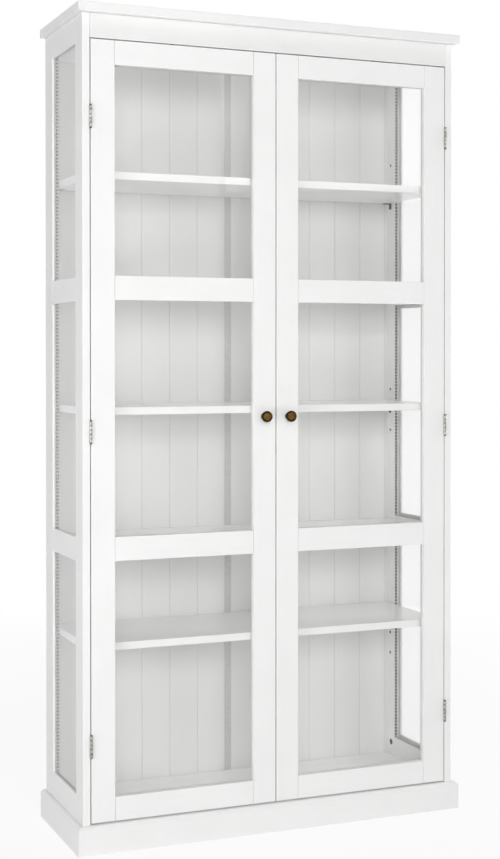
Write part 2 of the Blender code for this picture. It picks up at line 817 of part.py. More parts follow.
def build_cabinet():
    cabinet = new_empty("cabinet", (0, (FRONT_REACH - CARCASS_DEPTH) / 2, 0))
    add_top(cabinet)
    add_cross_rails(cabinet)
    add_floor_and_fixed_shelves(cabinet)
    add_loose_shelves(cabinet)
    add_back_strip(cabinet)
    add_plinth(cabinet)
    for side, sign in SIDES.items():
        add_side_frame(side, sign, cabinet)
        add_side_panes(side, sign, cabinet)
        add_supports(side, sign, cabinet)
        add_back_panel(side, sign, cabinet)
        add_door(side, sign, cabinet)


build_cabinet()
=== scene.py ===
import math

import bmesh
import bpy
from mathutils import Matrix, Vector


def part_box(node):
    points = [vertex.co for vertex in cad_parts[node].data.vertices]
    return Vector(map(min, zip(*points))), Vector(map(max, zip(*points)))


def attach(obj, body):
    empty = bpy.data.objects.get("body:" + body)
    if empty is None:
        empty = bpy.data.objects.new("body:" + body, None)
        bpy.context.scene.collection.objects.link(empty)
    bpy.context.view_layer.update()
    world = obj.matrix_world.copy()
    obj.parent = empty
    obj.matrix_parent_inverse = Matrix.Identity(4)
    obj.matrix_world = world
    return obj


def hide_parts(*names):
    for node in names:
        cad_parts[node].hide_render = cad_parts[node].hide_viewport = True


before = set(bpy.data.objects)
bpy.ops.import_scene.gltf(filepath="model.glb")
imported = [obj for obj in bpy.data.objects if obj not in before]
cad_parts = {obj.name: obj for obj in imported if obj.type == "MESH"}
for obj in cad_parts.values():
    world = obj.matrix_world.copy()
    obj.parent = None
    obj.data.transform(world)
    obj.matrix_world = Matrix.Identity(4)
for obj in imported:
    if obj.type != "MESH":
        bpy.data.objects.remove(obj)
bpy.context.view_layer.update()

# Camera, fitted to the photograph of 500 x 859 pixels
PHOTO_HEIGHT = 859
CAMERA_PLACE = (-1.4530, -3.5409, 1.1472)
CAMERA_TURN = -0.3985
CAMERA_TILT = -0.0107
FOCAL_PIXELS = 1532.19
AXIS_RIGHT_PIXELS = 16.10
AXIS_UP_PIXELS = 58.52
SENSOR_WIDTH = 36

# Fits and edges
CLEARANCE = 0.0003
CUT_PAST = 0.002
JOINT_GAP = 0.0005
TENON_THICKNESS = 0.006
TENON_REACH = 0.0010
BOARD_EDGE = 0.0011
FINE_EDGE = 0.0003
EDGE_SEGMENTS = 3
SMALL_HOLE_SIDES = 16
PIN_HOLE_SIDES = 20
ROUND_SIDES = 24
WIDE_ROUND_SIDES = 32
SMOOTH_UNDER = math.radians(40)
FLAT_FACE_WEIGHT = 100
SAME_POINT = CLEARANCE / 10

# How far a pane reaches under the lip of its frame
DOOR_PANE_COVER = 0.0082
SIDE_PANE_COVER = 0.0084

# Holes in the side frames
HOLE_PITCH = 0.055
PIN_DROP = 0.0075
PIN_HOLE_RADIUS = 0.0040
PIN_HOLE_DEPTH = 0.0093
PIN_HOLE_STEPS = {"lower": (-2, -1, 0), "middle": (-1, 0, 1), "upper": (0, 1, 2)}
CAM_RADIUS = 0.0078
CAM_DEPTH = 0.012
CAM_RISE = 0.034
CAM_TO_REBATE = 0.0207
CAM_CROSS_LENGTH = 1.3
CAM_CROSS_WIDTH = 0.30
CAM_CROSS_DEPTH = 0.35

# Grooves of the back panels
GROOVE_DEPTH = 0.0012

# Screw holes under the header
HEADER_HOLE_X = 0.262
HEADER_HOLE_RADIUS = 0.004
HEADER_HOLE_DEPTH = 0.010

# Shelf supports
PLATE_GAUGE = 0.0018
PIN_RADIUS = 0.0025
PIN_REACH = 0.009

# Glazing strips of the sides and glazing beads of the doors
STRIP_FOOT = 0.0004
STRIP_RIBS_START = 0.0026
STRIP_DEPTH = 0.0090
RIB_PITCH = 0.0085
RIB_RISE = 0.0016
RIB_SHARES = (0.20, 0.28, 0.62, 0.70)
RIB_SLOT, EDGE_SLOT, SHADOW_SLOT = range(3)
BEAD_WIDTH = 0.0080
BEAD_EDGE = 0.0022
BEAD_STEPS = 4
MITRE_GAP = 0.00015

# Magnetic catches and their strike plates
CATCH_SIZE = (0.046, 0.016, 0.0135)
CATCH_X = 0.100
CATCH_PROUD = 0.0024
CATCH_EDGE = 0.0012
POLE_SIZE = (0.012, 0.009, 0.003)
POLE_SHIFT = 0.0069
CATCH_SCREW = (0.0030, 0.0012)
CATCH_SCREW_SHIFT = 0.012
STRIKE_SIZE = (0.040, 0.0010, 0.010)

# Hinges
KNUCKLES = 5
LEAF_THICKNESS = 0.0008
KNUCKLE_RADIUS = 0.0038
KNUCKLE_GAP = 0.0026
PIN_SHARE = 0.76
PIN_EDGE = 0.0007
# The pin's dark steel slot: painted shade in the knuckle gaps and at the barrel's ends.
PIN_SHADE_SLOT = 1
HINGE_LENGTH = 0.051
LEAF_SCREW_PITCH = 0.018
SCREW_RADIUS = 0.0023
SCREW_CROSS_LENGTH = 1.1
SCREW_CROSS_WIDTH = 0.22
SCREW_CROSS_DEPTH = 0.2
SCREW_SUNK = 0.25
SCREW_PROUD = 0.0001

# Knobs: (share of the radius, drop below the rim) over the face and neck, then
# (share of the radius, height over the door) at the base
KNOB_FACE = (
    (0.00, 0.0008),
    (0.30, 0.0009),
    (0.58, 0.0015),
    (0.68, 0.0021),
    (0.72, 0.0016),
    (0.78, 0.0006),
    (0.82, 0.0000),
    (0.92, 0.0008),
    (0.98, 0.0026),
    (1.00, 0.0050),
    (0.97, 0.0076),
    (0.86, 0.0098),
    (0.62, 0.0118),
    (0.42, 0.0138),
    (0.36, 0.0165),
)
KNOB_BASE = ((0.38, 0.0046), (0.44, 0.0034), (0.56, 0.0026), (0.60, 0.0018))
KNOB_SIDES = 48

# Share of light that glass mirrors head on, and how steeply it grows with the slant
GLASS_MIRROR = 0.04
MIRROR_POWER = 5.0

# Share of the paint's tone left in its brush lines, and left in the grooves of the back as
# painted shade
STREAK_SHADE = 0.985
PAINTED_GROOVE_SHADOW = 0.78

# Light and dark tone of each surface
FRAME_WHITE = ((0.880, 0.880, 0.875), (0.860, 0.860, 0.855))
# The header's white is a darker copy of the frame paint, as painted shade under the overhang of
# the top.
PAINTED_SHADE_HEADER_TONES = ((0.815, 0.815, 0.810), (0.795, 0.795, 0.790))
# The shelves' white is a lighter copy of the frame paint, as painted light inside the cabinet.
PAINTED_LIGHT_SHELF_TONES = ((0.950, 0.950, 0.945), (0.935, 0.935, 0.930))
BACKING_WHITE = ((0.85, 0.85, 0.84), (0.83, 0.83, 0.82))
PLASTIC_WHITE = ((0.92, 0.92, 0.91), (0.88, 0.88, 0.87))
JOINT_GREY = ((0.64, 0.64, 0.64), (0.58, 0.58, 0.58))
RIB_GREY = ((0.62, 0.62, 0.62), (0.52, 0.52, 0.52))
# Near black under the ribs: painted shadow in the gaps between them.
RIB_GAP_SHADOW_TONES = ((0.07, 0.07, 0.07), (0.04, 0.04, 0.04))
HINGE_STEEL = ((0.50, 0.49, 0.455), (0.27, 0.264, 0.248))
SUPPORT_STEEL = ((0.14, 0.135, 0.13), (0.06, 0.058, 0.055))
# Near black inside the drilled holes: bare fibreboard darkened as painted shade of the deep
# holes.
FIBREBOARD_AND_HOLE_SHADE = ((0.028, 0.023, 0.018), (0.012, 0.010, 0.008))
GLASS_TINT = (0.995, 0.997, 0.995, 1)
MIRROR_TINT = (0.92, 0.92, 0.92, 1)
FLOOR_TINT = (0.90, 0.90, 0.90, 1)
WHITE = (1, 1, 1)

# Tones of the bronze, from the knob's dark rim to its rubbed middle
BRONZE_TONES = (
    (0.08, (0.014, 0.009, 0.005)),
    (0.34, (0.047, 0.027, 0.008)),
    (0.46, (0.105, 0.059, 0.014)),
    (0.60, (0.200, 0.122, 0.034)),
)

# Studio
FLOOR_GLOW = 0.88
WORLD_LEVEL = 0.0
FLOOR_SIZE = 40
FLOOR_FADE = (1.0, 3.2)
LAMP_AIM = (0, 0, 1.0)

# Area lamps, each with its place, its size and its watts
LAMPS = {
    "front": ((-1.2, -4.6, 1.9), (2.2, 1.2), 79),
    "front_wide": ((-0.6, -4.8, 1.8), (5.0, 2.2), 10),
    "front_high": ((-0.6, -4.8, 2.75), (5.0, 1.4), 8),
    "front_low": ((-1.8, -4.6, 0.6), (2.6, 0.8), 12),
    "top_front": ((-0.6, -3.4, 3.8), (4.0, 1.4), 24),
    "top_rear": ((0.0, 1.4, 3.6), (3.0, 1.4), 40),
    "left_front": ((-3.2, -2.2, 1.5), (1.6, 2.4), 12),
    "left_front_low": ((-3.0, -2.0, 0.4), (1.6, 0.7), 27),
    "left": ((-3.4, -0.2, 1.3), (2.0, 2.0), 17),
    "right_front": ((2.2, -4.0, 2.7), (1.6, 1.4), 6),
    "right": ((3.4, -0.4, 1.3), (2.0, 2.4), 62),
    "right_rear": ((2.6, 1.6, 1.6), (2.0, 2.4), 15),
}
UNMIRRORED_LAMP = "front"

# Names and axes
SIDES = {"left": -1, "right": 1}
LEVELS = ("lower", "middle", "upper")
RAILS = ("bottom", "lower", "upper", "top")
X, Y, Z = range(3)
ALONG_X = Matrix.Rotation(math.pi / 2, 4, "Y")
ALONG_Y = Matrix.Rotation(math.pi / 2, 4, "X")


# Node helpers for the materials
def feed(tree, socket, value):
    if isinstance(value, bpy.types.NodeSocket):
        tree.links.new(value, socket)
    else:
        socket.default_value = value


def add_node(tree, kind, inputs=None, **settings):
    node = tree.nodes.new(kind)
    for name, value in settings.items():
        setattr(node, name, value)
    for name, value in (inputs or {}).items():
        feed(tree, node.inputs[name], value)
    return node


def new_material(name, roughness=0.5, metallic=0.0):
    material = bpy.data.materials.new(name)
    material.use_nodes = True
    tree = material.node_tree
    shader = tree.nodes["Principled BSDF"]
    shader.inputs["Roughness"].default_value = roughness
    shader.inputs["Metallic"].default_value = metallic
    return material, tree, shader


def stretched(tree, stretch):
    """Coordinates that ride with the piece, in metres, squeezed along each axis."""
    coords = add_node(tree, "ShaderNodeTexCoord").outputs["Object"]
    scaled = add_node(tree, "ShaderNodeMapping", {"Vector": coords, "Scale": stretch})
    return scaled.outputs["Vector"]


def unstretched(tree):
    return stretched(tree, (1, 1, 1))


def noise(tree, vector, scale, detail, roughness=0.5):
    inputs = {"Vector": vector, "Scale": scale, "Detail": detail, "Roughness": roughness}
    return add_node(tree, "ShaderNodeTexNoise", inputs).outputs["Fac"]


def mapped(tree, value, source, target):
    """The value, stretched from one (low, high) range to another."""
    inputs = {
        "Value": value,
        "From Min": source[0],
        "From Max": source[1],
        "To Min": target[0],
        "To Max": target[1],
    }
    return add_node(tree, "ShaderNodeMapRange", inputs).outputs["Result"]


def colours(tree, value, stops):
    """A colour for each value, from (position, colour) stops."""
    node = add_node(tree, "ShaderNodeValToRGB", {"Fac": value})
    ramp = node.color_ramp
    while len(ramp.elements) < len(stops):
        ramp.elements.new(0.5)
    for element, (position, colour) in zip(ramp.elements, stops):
        element.position = position
        element.color = (*colour, 1)
    return node.outputs["Color"]


def multiplied(tree, first, second):
    inputs = {"Fac": 1.0, "Color1": first, "Color2": second}
    return add_node(tree, "ShaderNodeMixRGB", inputs, blend_type="MULTIPLY").outputs["Color"]


def bump(tree, height, distance, strength, normal=None):
    inputs = {"Height": height, "Distance": distance, "Strength": strength}
    if normal:
        inputs["Normal"] = normal
    return add_node(tree, "ShaderNodeBump", inputs).outputs["Normal"]


def grain_stretch(axis, along):
    return tuple(along if index == axis else 1.0 for index in range(3))


# Materials
def painted_board(name, grain_axis, light, shade, roughness):
    """Satin white paint: faint brush lines along the board, and a fine orange peel."""
    material, tree, shader = new_material(name)
    along = stretched(tree, grain_stretch(grain_axis, along=0.04))
    even = unstretched(tree)
    lines = noise(tree, along, scale=260, detail=4.0, roughness=0.6)
    clouds = noise(tree, even, scale=7, detail=3.0)
    peel = noise(tree, even, scale=900, detail=1.0)
    tone = colours(tree, clouds, ((0.35, shade), (0.65, light)))
    streak = colours(tree, lines, ((0.30, (STREAK_SHADE,) * 3), (0.62, WHITE)))
    feed(tree, shader.inputs["Base Color"], multiplied(tree, tone, streak))
    rough = mapped(tree, lines, (0.25, 0.75), (roughness - 0.05, roughness + 0.07))
    feed(tree, shader.inputs["Roughness"], rough)
    brushed = bump(tree, lines, distance=0.00009, strength=0.6)
    surface = bump(tree, peel, distance=0.00003, strength=0.5, normal=brushed)
    feed(tree, shader.inputs["Normal"], surface)
    return material


def backing_board():
    """Matt faced board, greyer than the painted boards, with painted shade down in its grooves.
    """
    material = painted_board("white_backing", Z, *BACKING_WHITE, roughness=0.56)
    tree = material.node_tree
    colour = tree.nodes["Principled BSDF"].inputs["Base Color"]
    coords = add_node(tree, "ShaderNodeTexCoord").outputs["Object"]
    inward_y = add_node(tree, "ShaderNodeSeparateXYZ", {"Vector": coords}).outputs["Y"]
    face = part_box("back_panel_left")[0].y
    # Painted shade: the colour darkens by depth down into the grooves.
    depth = mapped(tree, inward_y, (face, face + 2 * GROOVE_DEPTH), (0.0, 1.0))
    dark = (PAINTED_GROOVE_SHADOW,) * 3
    stops = ((0.05, WHITE), (0.45, dark), (0.55, dark), (0.75, WHITE))
    groove_shadow_tone = colours(tree, depth, stops)
    feed(tree, colour, multiplied(tree, colour.links[0].from_socket, groove_shadow_tone))
    return material


def fibreboard_and_hole_shade():
    """Bare brown fibreboard inside the drilled holes, darkened near to black as painted shade
    of the deep holes.
    """
    material, tree, shader = new_material("fibreboard_and_hole_shade", roughness=0.9)
    fibres = noise(tree, unstretched(tree), scale=1500, detail=4.0, roughness=0.7)
    light, shade = FIBREBOARD_AND_HOLE_SHADE
    tone = colours(tree, fibres, ((0.3, shade), (0.7, light)))
    feed(tree, shader.inputs["Base Color"], tone)
    return material


def clear_glass():
    """Float glass that passes light straight through and mirrors by angle."""
    material, tree, shader = new_material("clear_glass")
    tree.nodes.remove(shader)
    smudges = noise(tree, unstretched(tree), scale=14, detail=5.0, roughness=0.6)
    haze = mapped(tree, smudges, (0.45, 0.8), (0.0, 0.06))
    through = add_node(tree, "ShaderNodeBsdfTransparent", {"Color": GLASS_TINT})
    mirror = add_node(tree, "ShaderNodeBsdfGlossy", {"Color": MIRROR_TINT, "Roughness": haze})
    slant = add_node(tree, "ShaderNodeLayerWeight", {"Blend": 0.5}).outputs["Facing"]
    powers = {0: slant, 1: MIRROR_POWER}
    steep = add_node(tree, "ShaderNodeMath", powers, operation="POWER").outputs[0]
    share = mapped(tree, steep, (0.0, 1.0), (GLASS_MIRROR, 1.0))
    surface = add_node(tree, "ShaderNodeMixShader", {"Fac": share})
    tree.links.new(through.outputs[0], surface.inputs[1])
    tree.links.new(mirror.outputs[0], surface.inputs[2])
    tree.links.new(surface.outputs[0], tree.nodes["Material Output"].inputs["Surface"])
    return material


def moulded_plastic(name, light, shade, roughness):
    material, tree, shader = new_material(name)
    even = unstretched(tree)
    clouds = noise(tree, even, scale=120, detail=3.0)
    tone = colours(tree, clouds, ((0.35, shade), (0.65, light)))
    feed(tree, shader.inputs["Base Color"], tone)
    grains = noise(tree, even, scale=2400, detail=1.0)
    rough = mapped(tree, grains, (0.3, 0.7), (roughness - 0.06, roughness + 0.06))
    feed(tree, shader.inputs["Roughness"], rough)
    feed(tree, shader.inputs["Normal"], bump(tree, grains, distance=0.00002, strength=0.5))
    return material


def worn_steel(name, light, shade, roughness, brush_axis):
    """Plated steel with brush marks along one axis and a little tarnish."""
    material, tree, shader = new_material(name, metallic=1.0)
    along = stretched(tree, grain_stretch(brush_axis, along=0.06))
    marks = noise(tree, along, scale=2600, detail=3.0)
    tarnish = noise(tree, unstretched(tree), scale=160, detail=4.0, roughness=0.6)
    tone = colours(tree, tarnish, ((0.38, shade), (0.60, light)))
    feed(tree, shader.inputs["Base Color"], tone)
    rough = mapped(tree, marks, (0.25, 0.75), (roughness - 0.08, roughness + 0.12))
    feed(tree, shader.inputs["Roughness"], rough)
    feed(tree, shader.inputs["Normal"], bump(tree, marks, distance=0.00003, strength=0.5))
    return material


def aged_bronze(knob_centre_x, knob_centre_z, radius):
    """Dark bronze, rubbed to brown gold over the middle of the knob's face."""
    material, tree, shader = new_material("aged_bronze", metallic=1.0)
    coords = add_node(tree, "ShaderNodeTexCoord").outputs["Object"]
    parts = add_node(tree, "ShaderNodeSeparateXYZ", {"Vector": coords})
    away = add_node(tree, "ShaderNodeMath", {0: parts.outputs["X"]}, operation="ABSOLUTE")
    flat = add_node(
        tree,
        "ShaderNodeCombineXYZ",
        {"X": away.outputs[0], "Z": parts.outputs["Z"]},
    )
    centre = (knob_centre_x, 0, knob_centre_z)
    reach = add_node(
        tree,
        "ShaderNodeVectorMath",
        {0: flat.outputs[0], 1: centre},
        operation="DISTANCE",
    ).outputs["Value"]
    blotch = noise(tree, unstretched(tree), scale=330, detail=5.0, roughness=0.62)
    edge = mapped(tree, reach, (0.60 * radius, radius), (0.0, 0.40))
    rubbed = add_node(tree, "ShaderNodeMath", {0: blotch, 1: edge}, operation="SUBTRACT")
    tone = colours(tree, rubbed.outputs[0], BRONZE_TONES)
    feed(tree, shader.inputs["Base Color"], tone)
    rough = mapped(tree, rubbed.outputs[0], (0.0, 0.6), (0.52, 0.30))
    feed(tree, shader.inputs["Roughness"], rough)
    feed(tree, shader.inputs["Normal"], bump(tree, blotch, distance=0.0002, strength=0.35))
    return material


def seen_directly(tree, path):
    """1 for rays from the camera, from a mirror or through glass, else 0."""
    total = path.outputs["Is Camera Ray"]
    for name in ("Is Glossy Ray", "Is Transmission Ray"):
        inputs = {0: total, 1: path.outputs[name]}
        total = add_node(tree, "ShaderNodeMath", inputs, operation="MAXIMUM").outputs[0]
    return total


def studio_floor():
    """Pale floor that keeps shadows near the object and fades to plain white."""
    material, tree, shader = new_material("studio_floor", roughness=0.9)
    tree.nodes.remove(shader)
    coords = add_node(tree, "ShaderNodeTexCoord").outputs["Object"]
    reach = add_node(tree, "ShaderNodeVectorMath", {0: coords}, operation="LENGTH")
    fade = mapped(tree, reach.outputs["Value"], FLOOR_FADE, (FLOOR_GLOW, 1.0))
    path = add_node(tree, "ShaderNodeLightPath")
    seen = seen_directly(tree, path)
    share = add_node(tree, "ShaderNodeMath", {0: fade, 1: seen}, operation="MULTIPLY")
    matt = add_node(tree, "ShaderNodeBsdfDiffuse", {"Color": FLOOR_TINT})
    glow = add_node(tree, "ShaderNodeEmission", {"Color": (*WHITE, 1), "Strength": 1.0})
    surface = add_node(tree, "ShaderNodeMixShader", {"Fac": share.outputs[0]})
    tree.links.new(matt.outputs[0], surface.inputs[1])
    tree.links.new(glow.outputs[0], surface.inputs[2])
    tree.links.new(surface.outputs[0], tree.nodes["Material Output"].inputs["Surface"])
    return material


def knob_place(side):
    low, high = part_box(f"{side}_knob")
    return (low + high) / 2, (high.x - low.x) / 2


KNOB_CENTRE, KNOB_RADIUS = knob_place("right")

PAINT = {
    axis: painted_board(f"white_lacquer_{'xyz'[axis]}", axis, *FRAME_WHITE, roughness=0.42)
    for axis in (X, Y, Z)
}
# A darker copy of the lacquer for the header: painted shade under the top's overhang.
PAINTED_SHADE_HEADER_LACQUER = painted_board("painted_shade_header_lacquer", X, *PAINTED_SHADE_HEADER_TONES, roughness=0.45)
# A lighter copy of the lacquer for the floor and shelves: painted light inside the cabinet.
PAINTED_LIGHT_SHELF_LACQUER = painted_board("painted_light_shelf_lacquer", X, *PAINTED_LIGHT_SHELF_TONES, roughness=0.20)
HOLE_WALL_SHADE = fibreboard_and_hole_shade()
BACKING = backing_board()
GLASS = clear_glass()
STRIP = moulded_plastic("pale_strip", *JOINT_GREY, roughness=0.45)
GREY_STRIP = moulded_plastic("grey_strip", *RIB_GREY, roughness=0.5)
RIB_GAP_SHADOW = moulded_plastic("rib_gap_painted_shadow", *RIB_GAP_SHADOW_TONES, roughness=0.6)
WHITE_PLASTIC = moulded_plastic("white_plastic", *PLASTIC_WHITE, roughness=0.35)
STEEL = worn_steel("hinge_steel", *HINGE_STEEL, roughness=0.42, brush_axis=Z)
DARK_STEEL = worn_steel("dark_steel", *SUPPORT_STEEL, roughness=0.40, brush_axis=X)
BRONZE = aged_bronze(abs(KNOB_CENTRE.x), KNOB_CENTRE.z, KNOB_RADIUS)


# Mesh helpers
def grown(spans, amount):
    return [(low - amount, high + amount) for low, high in spans]


def spans_of(node):
    """A node's ((low x, high x), (low y, high y), (low z, high z))."""
    return list(zip(*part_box(node)))


def inward(sign, near, far):
    """The x span from near to far, measured from the middle on one side."""
    return (near, far) if sign > 0 else (-far, -near)


def box_bm(spans, edge=0.0, segments=EDGE_SEGMENTS):
    """A box with rounded edges."""
    low, high = (Vector(corner) for corner in zip(*spans))
    bm = bmesh.new()
    place = Matrix.Translation((low + high) / 2) @ Matrix.Diagonal((*(high - low), 1))
    bmesh.ops.create_cube(bm, size=1, matrix=place)
    if edge:
        bmesh.ops.bevel(
            bm,
            geom=bm.edges[:],
            offset=edge,
            segments=segments,
            profile=0.5,
            affect="EDGES",
        )
    return bm


def rod_bm(radius, length, matrix, sides, edge=0.0):
    """A rod centred on its matrix, along the matrix's own Z, with rounded rims."""
    bm = bmesh.new()
    bmesh.ops.create_cone(
        bm,
        cap_ends=True,
        segments=sides,
        radius1=radius,
        radius2=radius,
        depth=length,
    )
    if edge:
        rims = [e for e in bm.edges if abs(e.verts[0].co.z - e.verts[1].co.z) < length / 2]
        bmesh.ops.bevel(bm, geom=rims, offset=edge, segments=2, profile=0.5, affect="EDGES")
    bm.transform(matrix)
    return bm


def joined(bms):
    """One bmesh from several, which are freed."""
    bms = list(bms)
    whole = bms[0]
    for bm in bms[1:]:
        mesh = bpy.data.meshes.new("piece")
        bm.to_mesh(mesh)
        bm.free()
        whole.from_mesh(mesh)
        bpy.data.meshes.remove(mesh)
    return whole


def in_slot(bm, index):
    """The same bmesh, with every face in one material slot."""
    for face in bm.faces:
        face.material_index = index
    return bm


def mesh_of(bm, material=None):
    mesh = bpy.data.meshes.new("piece")
    bm.to_mesh(mesh)
    bm.free()
    if material:
        mesh.materials.append(material)
    return mesh


def placed(mesh, matrix):
    bm = bmesh.new()
    bm.from_mesh(mesh)
    bm.transform(matrix)
    return bm


def axes_matrix(along, back, up, origin):
    """Turns X, Y and Z to the given directions and moves the origin."""
    matrix = Matrix((along, back, up)).transposed().to_4x4()
    matrix.translation = origin
    return matrix


def new_object(name, mesh):
    obj = bpy.data.objects.new(name, mesh)
    bpy.context.scene.collection.objects.link(obj)
    return obj


def cut(mesh, cutters, material=None):
    """The mesh with each cutter's shape taken away; cut faces take the cutter's material."""
    mesh.materials.append(material)
    obj = new_object("uncut", mesh)
    tools = [new_object("cutter", cutter.copy()) for cutter in cutters]
    for tool in tools:
        if not tool.data.materials:
            tool.data.materials.append(material)
        modifier = obj.modifiers.new("cut", "BOOLEAN")
        modifier.operation = "DIFFERENCE"
        modifier.material_mode = "TRANSFER"
        modifier.object = tool
    graph = bpy.context.evaluated_depsgraph_get()
    result = bpy.data.meshes.new_from_object(obj.evaluated_get(graph))
    for helper in (obj, *tools):
        bpy.data.objects.remove(helper)
    return result


def soften(obj):
    """Smooth shading over rounded edges, with the flat faces kept flat."""
    obj.data.shade_smooth()
    obj.data.set_sharp_from_angle(angle=SMOOTH_UNDER)
    modifier = obj.modifiers.new("flat_faces", "WEIGHTED_NORMAL")
    modifier.keep_sharp = True
    modifier.weight = FLAT_FACE_WEIGHT


def add_piece(name, mesh, material, body, replaced=None):
    if not mesh.materials:
        mesh.materials.append(material)
    obj = new_object(name, mesh)
    soften(obj)
    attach(obj, body)
    if replaced:
        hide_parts(replaced)
    return obj


def repaint(node, material):
    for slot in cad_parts[node].material_slots:
        slot.material = material


# Carcass boards that are plain boxes
def add_plain_boards():
    outer = ("top_panel", "rear_top_rail", "plinth_rear")
    fixed = ("floor_panel", "lower_fixed_shelf", "upper_fixed_shelf")
    loose = ("lower_shelf", "middle_shelf", "upper_shelf")
    # The floor and shelves take the lighter lacquer, painted light inside the cabinet.
    for nodes, material in ((outer, PAINT[X]), (fixed + loose, PAINTED_LIGHT_SHELF_LACQUER)):
        for node in nodes:
            mesh = mesh_of(box_bm(spans_of(node), BOARD_EDGE))
            add_piece(f"{node}_board", mesh, material, "cabinet", node)


def add_header():
    """The board over the doors, with two screw holes up into its lower edge."""
    spans = spans_of("header_rail")
    length = HEADER_HOLE_DEPTH + CUT_PAST
    height = spans[Z][0] - CUT_PAST + length / 2
    holes = [
        rod_bm(
            HEADER_HOLE_RADIUS,
            length,
            Matrix.Translation((sign * HEADER_HOLE_X, sum(spans[Y]) / 2, height)),
            ROUND_SIDES,
        )
        for sign in SIDES.values()
    ]
    cutter = mesh_of(joined(holes), HOLE_WALL_SHADE)
    mesh = cut(mesh_of(box_bm(spans, BOARD_EDGE)), [cutter], PAINTED_SHADE_HEADER_LACQUER)
    add_piece("header_rail_board", mesh, PAINTED_SHADE_HEADER_LACQUER, "cabinet", "header_rail")


# Frames of boards, rebated for their panes
def openings(panes, cover):
    """The sight opening over each pane, from the bottom up."""
    return [grown(spans_of(pane), -cover) for pane in panes]


def frame_boards(whole, holes, across):
    """The spans and grain of two stiles and four rails, and the spans of the rails' tenons."""
    first, last = holes[0][across]
    low, high = whole[across]
    thin = Y if across == X else X
    boards = {}
    for name, reach in {"first": (low, first), "last": (last, high)}.items():
        spans = list(whole)
        spans[across] = reach
        boards[name] = (spans, Z, None)
    levels = [whole[Z][0], *(edge for hole in holes for edge in hole[Z]), whole[Z][1]]
    middle = sum(whole[thin]) / 2
    for name, low_z, high_z in zip(RAILS, levels[::2], levels[1::2]):
        spans = list(whole)
        spans[across] = (first + JOINT_GAP, last - JOINT_GAP)
        spans[Z] = (low_z, high_z)
        tenon = list(spans)
        tenon[across] = (first - TENON_REACH, last + TENON_REACH)
        tenon[thin] = (middle - TENON_THICKNESS / 2, middle + TENON_THICKNESS / 2)
        tenon[Z] = (low_z + TENON_THICKNESS, high_z - TENON_THICKNESS)
        boards[name] = (spans, across, tenon)
    return boards


def add_boards(names, boards, body, node, cutters):
    for key, (spans, axis, tenon) in boards.items():
        shapes = [box_bm(spans, BOARD_EDGE)]
        if tenon:
            shapes.append(box_bm(tenon))
        pieces = [cut(mesh_of(shape), cutters, PAINT[axis]) for shape in shapes]
        bms = [placed(piece, Matrix()) for piece in pieces]
        mesh = mesh_of(joined(bms))
        for material in pieces[0].materials:
            mesh.materials.append(material)
        add_piece(names[key], mesh, PAINT[axis], body, node)


def rail_names(prefix):
    return {rail: f"{prefix}_{rail}_rail" for rail in RAILS}


def door_pane_cutter(side, level):
    spans = grown(spans_of(f"{side}_door_{level}_pane"), CLEARANCE)
    rear = spans_of(f"{side}_door_frame")[Y][1]
    spans[Y] = (spans[Y][0], rear + CUT_PAST)
    return mesh_of(box_bm(spans))


def add_door_boards(side):
    node = f"{side}_door_frame"
    panes = [f"{side}_door_{level}_pane" for level in LEVELS]
    boards = frame_boards(spans_of(node), openings(panes, DOOR_PANE_COVER), X)
    meeting, hanging = ("first", "last") if side == "right" else ("last", "first")
    names = rail_names(f"{side}_door")
    names[meeting] = f"{side}_door_meeting_stile"
    names[hanging] = f"{side}_door_hanging_stile"
    cutters = [door_pane_cutter(side, level) for level in LEVELS]
    cutters.append(knob_hole(side))
    add_boards(names, boards, f"{side}_door", node, cutters)


def knob_hole(side):
    centre = knob_place(side)[0]
    depths = spans_of(f"{side}_door_frame")[Y]
    middle = Matrix.Translation((centre.x, sum(depths) / 2, centre.z))
    length = depths[1] - depths[0] + 2 * CUT_PAST
    return mesh_of(rod_bm(SCREW_RADIUS, length, middle @ ALONG_Y, SMALL_HOLE_SIDES))


def side_pane_cutter(pane, sign, inner):
    spans = grown(spans_of(pane), CLEARANCE)
    outer = max(abs(x) for x in spans[X])
    spans[X] = inward(sign, inner - CUT_PAST, outer)
    return mesh_of(box_bm(spans))


def side_hole(sign, inner, y, z, radius, depth, sides):
    middle = Matrix.Translation((sign * (inner + (depth - CUT_PAST) / 2), y, z))
    return rod_bm(radius, depth + CUT_PAST, middle @ ALONG_X, sides)


def support_depths(side):
    """How far back the front and rear supports of the shelves stand."""
    nodes = [f"lower_shelf_support_{side}_{end}" for end in ("front", "rear")]
    return [sum(spans_of(node)[Y]) / 2 for node in nodes]


def hole_heights():
    heights = []
    for level, steps in PIN_HOLE_STEPS.items():
        used = spans_of(f"{level}_shelf")[Z][0] - PIN_DROP
        heights += [used + step * HOLE_PITCH for step in steps]
    return heights


def cam_places(side):
    depths = grown(spans_of(f"{side}_side_lower_pane"), CLEARANCE + CAM_TO_REBATE)[Y]
    return dict(zip(("front", "rear"), depths)), spans_of("floor_panel")[Z][1] + CAM_RISE


